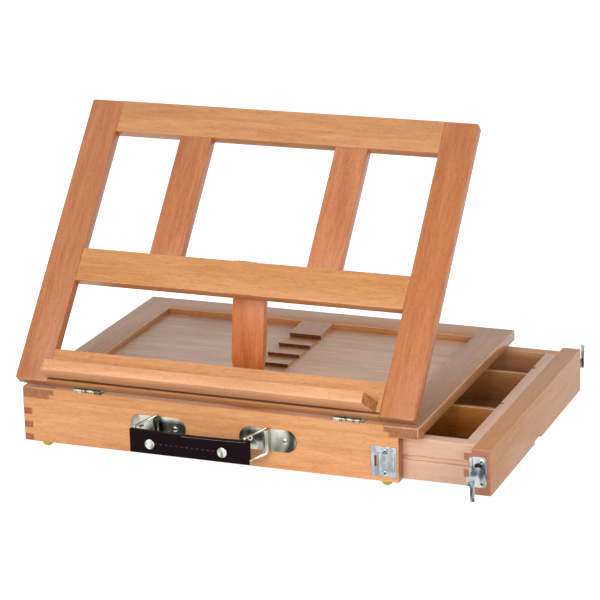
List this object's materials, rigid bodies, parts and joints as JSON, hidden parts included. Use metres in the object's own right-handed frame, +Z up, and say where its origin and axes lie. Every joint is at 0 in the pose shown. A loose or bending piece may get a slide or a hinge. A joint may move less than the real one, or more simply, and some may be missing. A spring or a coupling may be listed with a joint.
{
  "type": "tabletop sketch-box easel",
  "caption": "Wooden tabletop easel: a drawer case whose lid carries a tilting canvas frame, held up by a folding leg on a ratchet rail, with a strap handle.",
  "frame": {"origin": "centre of the bounding box at rest, at the level of the rubber feet's undersides", "axes": "+X to the right along the hinge line, the way the drawer opens; +Y from the front with the handle to the back; +Z up"},
  "size_m": [0.4836, 0.362, 0.306],
  "materials": {
    "beech": "oiled",
    "beech_red": "oiled",
    "beech_pale": "oiled",
    "birch_plywood": "sanded",
    "nickel_plated_steel": "polished",
    "yellow_rubber": "moulded",
    "leather": "smooth"
  },
  "bodies": {
    "case": {"front_wall": "beech", "back_wall": "beech", "left_wall": "beech_red", "lid_rail_left": "beech_red", "lid_rail_right": "beech_red", "lid_rail_front": "beech", "lid_rail_back": "beech", "ratchet_rail": "beech_pale", "ratchet_teeth": "beech_pale", "lid_panel_left": "birch_plywood", "lid_panel_right": "birch_plywood", "runner_front": "beech", "runner_back": "beech", "rubber_feet": "yellow_rubber", "handle_plate_left": "nickel_plated_steel", "handle_plate_right": "nickel_plated_steel", "keeper_front": "nickel_plated_steel", "keeper_back": "nickel_plated_steel", "case_screws": "nickel_plated_steel", "hinge_leaves_lower": "nickel_plated_steel", "hinge_screws_lower": "nickel_plated_steel", "hinge_pins": "nickel_plated_steel", "catch_plate": "nickel_plated_steel", "catch_pin": "nickel_plated_steel"},
    "drawer": {"drawer_front": "beech_red", "drawer_end_right": "beech_red", "drawer_end_left": "beech_red", "drawer_side_front": "beech_pale", "drawer_side_back": "beech_pale", "drawer_floor": "birch_plywood", "divider_front": "beech_pale", "divider_back": "beech_pale", "latch_plate_front": "nickel_plated_steel", "latch_plate_back": "nickel_plated_steel", "latch_pins": "nickel_plated_steel", "latch_screws": "nickel_plated_steel"},
    "canvas_frame": {"frame_stile_left": "beech_red", "frame_stile_right": "beech_red", "frame_top_rail": "beech", "frame_middle_rail": "beech", "frame_bottom_rail": "beech", "frame_mullion_left": "beech_red", "frame_mullion_right": "beech_red", "canvas_ledge": "beech", "ledge_screws": "nickel_plated_steel", "hinge_leaves_upper": "nickel_plated_steel", "hinge_screws_upper": "nickel_plated_steel", "top_strike": "nickel_plated_steel", "leg_hinge_fixed": "nickel_plated_steel", "leg_hinge_pin": "nickel_plated_steel"},
    "leg": {"support_leg": "beech", "leg_hinge_moving": "nickel_plated_steel", "leg_hinge_screws": "nickel_plated_steel"},
    "ring_left": {"ring_left": "nickel_plated_steel"},
    "ring_right": {"ring_right": "nickel_plated_steel"},
    "grip": {"leather_grip": "leather", "grip_rivets": "nickel_plated_steel"},
    "latch_front": {"latch_lever_front": "nickel_plated_steel"},
    "latch_back": {"latch_lever_back": "nickel_plated_steel"},
    "catch": {"catch_lever": "nickel_plated_steel"}
  },
  "joints": [
    {"name": "drawer_slide", "type": "slide", "parent": "case", "child": "drawer", "axis": [1, 0, 0], "range_m": [-0.0709, 0.23]},
    {"name": "frame_tilt", "type": "hinge", "parent": "case", "child": "canvas_frame", "pos_m": [-0.03355, -0.15328, 0.0632], "axis": [1, 0, 0], "range_deg": [0, 55]},
    {"name": "leg_fold", "type": "hinge", "parent": "canvas_frame", "child": "leg", "pos_m": [-0.03355, -0.05558, 0.17437], "axis": [1, 0, 0], "range_deg": [-32, 0]},
    {"name": "ring_left_swing", "type": "hinge", "parent": "case", "child": "ring_left", "pos_m": [-0.09325, -0.15728, 0.034], "axis": [0, 0, 1], "range_deg": [-34, 102]},
    {"name": "grip_swing", "type": "hinge", "parent": "ring_left", "child": "grip", "pos_m": [-0.10667, -0.17718, 0.028], "axis": [0, 0, 1], "range_deg": [-102, 34]},
    {"name": "ring_right_swing", "type": "hinge", "parent": "case", "child": "ring_right", "pos_m": [0.02075, -0.15728, 0.034], "axis": [0, 0, 1], "range_deg": [-34, 102]},
    {"name": "latch_front_swing", "type": "hinge", "parent": "drawer", "child": "latch_front", "pos_m": [0.22285, -0.15453, 0.02475], "axis": [0, 0, 1], "range_deg": [-104, 31]},
    {"name": "latch_back_swing", "type": "hinge", "parent": "drawer", "child": "latch_back", "pos_m": [0.22285, 0.16137, 0.02475], "axis": [0, 0, -1], "range_deg": [-128, 7]},
    {"name": "catch_swing", "type": "hinge", "parent": "case", "child": "catch", "pos_m": [-0.03575, 0.16182, 0.04585], "axis": [-1, 0, 0], "range_deg": [-140, 0]}
  ],
  "couplings": [
    {"joint": "grip_swing", "follows": "ring_left_swing", "ratio": -1},
    {"joint": "ring_right_swing", "follows": "ring_left_swing", "ratio": 1}
  ]
}
